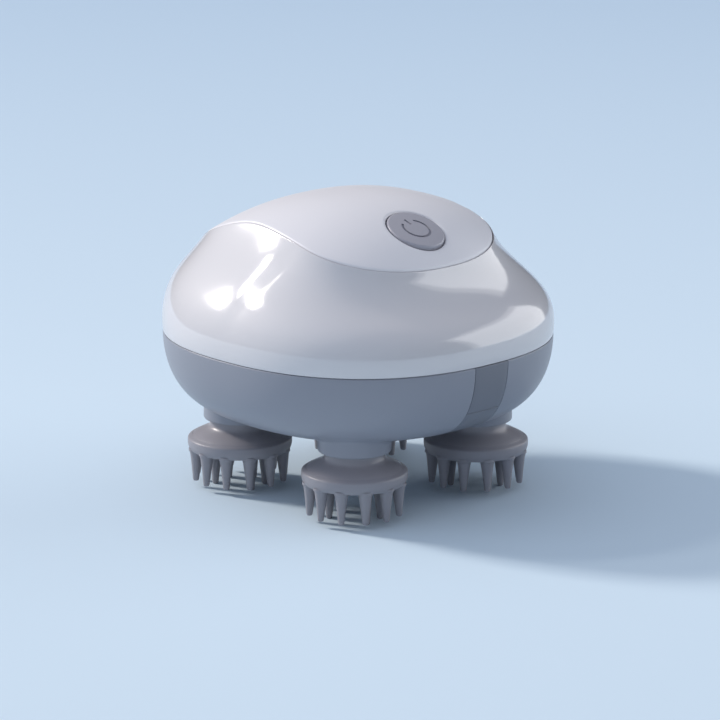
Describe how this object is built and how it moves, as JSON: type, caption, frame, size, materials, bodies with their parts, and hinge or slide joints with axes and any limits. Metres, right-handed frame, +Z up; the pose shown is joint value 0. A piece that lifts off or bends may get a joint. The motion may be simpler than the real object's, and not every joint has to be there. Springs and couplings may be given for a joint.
{
  "type": "electric scalp massager",
  "caption": "Palm-sized rounded dome body standing on driven discs of soft tapered fingers, with a round power button on its crown and a flap over a charging port.",
  "frame": {"origin": "on the table under the middle of the body, level with the finger tips it stands on", "axes": "+Z up along the spindles, -Y towards the front with the button and the charging port, +X to the right seen from behind"},
  "size_m": [0.1052, 0.1095, 0.0858],
  "materials": {
    "shell_gloss": "high gloss white ABS",
    "cover_satin": "satin white ABS with a fine moulded texture",
    "housing_satin": "satin blue-grey ABS",
    "band_satin": "satin dark blue-grey plastic",
    "flap_silicone": "soft silicone in the band's colour",
    "button_satin": "satin grey with an engraved symbol",
    "head_plastic": "satin warm grey",
    "head_silicone": "food-grade silicone, matte",
    "gear_acetal": "natural acetal",
    "frame_plastic": "black glass-filled nylon",
    "seal_rubber": "nitrile rubber",
    "steel": "plated steel",
    "bronze": "sintered bronze",
    "board": "green solder mask",
    "switch_plastic": "moulded black plastic",
    "cell_wrap": "blue heat-shrink wrap"
  },
  "bodies": {
    "housing": {"lower_housing": "housing_satin", "upper_shell": "shell_gloss", "top_cover": "cover_satin", "seam_gasket": "seal_rubber", "button_gasket": "seal_rubber", "control_board": "board", "tact_switch": "switch_plastic", "board_screws": "steel", "front_band": "band_satin", "charge_socket": "steel", "charge_board": "board", "gearbox_plate": "frame_plastic", "plate_screws": "steel", "closing_screws": "steel", "shaft_seals": "seal_rubber", "lower_bushes": "bronze", "upper_bushes": "bronze", "sun_axle": "steel", "idler_pin": "steel", "motor_can": "steel", "motor_end_cap": "switch_plastic", "motor_screws": "steel", "battery": "cell_wrap", "battery_cradle": "frame_plastic"},
    "sun": {"sun_gear": "gear_acetal"},
    "idler": {"idler_gear": "gear_acetal"},
    "motor_rotor": {"motor_shaft": "steel", "motor_pinion": "bronze"},
    "button": {"power_button": "button_satin"},
    "flap": {"port_flap": "flap_silicone"},
    "front_left_head": {"front_left_cap": "head_plastic", "front_left_pad": "head_silicone", "front_left_spindle": "steel", "front_left_gear": "gear_acetal", "front_left_clip": "steel", "front_left_screw": "steel"},
    "front_right_head": {"front_right_cap": "head_plastic", "front_right_pad": "head_silicone", "front_right_spindle": "steel", "front_right_gear": "gear_acetal", "front_right_clip": "steel", "front_right_screw": "steel"},
    "back_right_head": {"back_right_cap": "head_plastic", "back_right_pad": "head_silicone", "back_right_spindle": "steel", "back_right_gear": "gear_acetal", "back_right_clip": "steel", "back_right_screw": "steel"},
    "back_left_head": {"back_left_cap": "head_plastic", "back_left_pad": "head_silicone", "back_left_spindle": "steel", "back_left_gear": "gear_acetal", "back_left_clip": "steel", "back_left_screw": "steel"}
  },
  "joints": [
    {"name": "sun_spin", "type": "hinge", "parent": "housing", "child": "sun", "pos_m": [0, 0, 0.03], "axis": [0, 0, 1], "continuous": true},
    {"name": "front_left_spin", "type": "hinge", "parent": "housing", "child": "front_left_head", "pos_m": [-0.02404, -0.02404, 0.02], "axis": [0, 0, 1], "continuous": true},
    {"name": "front_right_spin", "type": "hinge", "parent": "housing", "child": "front_right_head", "pos_m": [0.02404, -0.02404, 0.02], "axis": [0, 0, 1], "continuous": true},
    {"name": "back_right_spin", "type": "hinge", "parent": "housing", "child": "back_right_head", "pos_m": [0.02404, 0.02404, 0.02], "axis": [0, 0, 1], "continuous": true},
    {"name": "back_left_spin", "type": "hinge", "parent": "housing", "child": "back_left_head", "pos_m": [-0.02404, 0.02404, 0.02], "axis": [0, 0, 1], "continuous": true},
    {"name": "idler_spin", "type": "hinge", "parent": "housing", "child": "idler", "pos_m": [0, 0.0222, 0.04], "axis": [0, 0, 1], "continuous": true},
    {"name": "motor_spin", "type": "hinge", "parent": "housing", "child": "motor_rotor", "pos_m": [-0.01497, 0.01819, 0.04], "axis": [0, 0, 1], "continuous": true},
    {"name": "button_press", "type": "slide", "parent": "housing", "child": "button", "axis": [0, 0.4067, -0.9135], "range_m": [0, 0.0008], "stiffness_N_per_m": 900},
    {"name": "flap_hinge", "type": "hinge", "parent": "housing", "child": "flap", "pos_m": [0, -0.05079, 0.03229], "axis": [1, 0, 0], "range_deg": [0, 95]}
  ],
  "couplings": [
    {"joint": "front_left_spin", "follows": "sun_spin", "ratio": -1.8333},
    {"joint": "front_right_spin", "follows": "sun_spin", "ratio": -1.8333},
    {"joint": "back_right_spin", "follows": "sun_spin", "ratio": -1.8333},
    {"joint": "back_left_spin", "follows": "sun_spin", "ratio": -1.8333},
    {"joint": "idler_spin", "follows": "sun_spin", "ratio": -4.2857},
    {"joint": "motor_spin", "follows": "sun_spin", "ratio": 17.857}
  ]
}
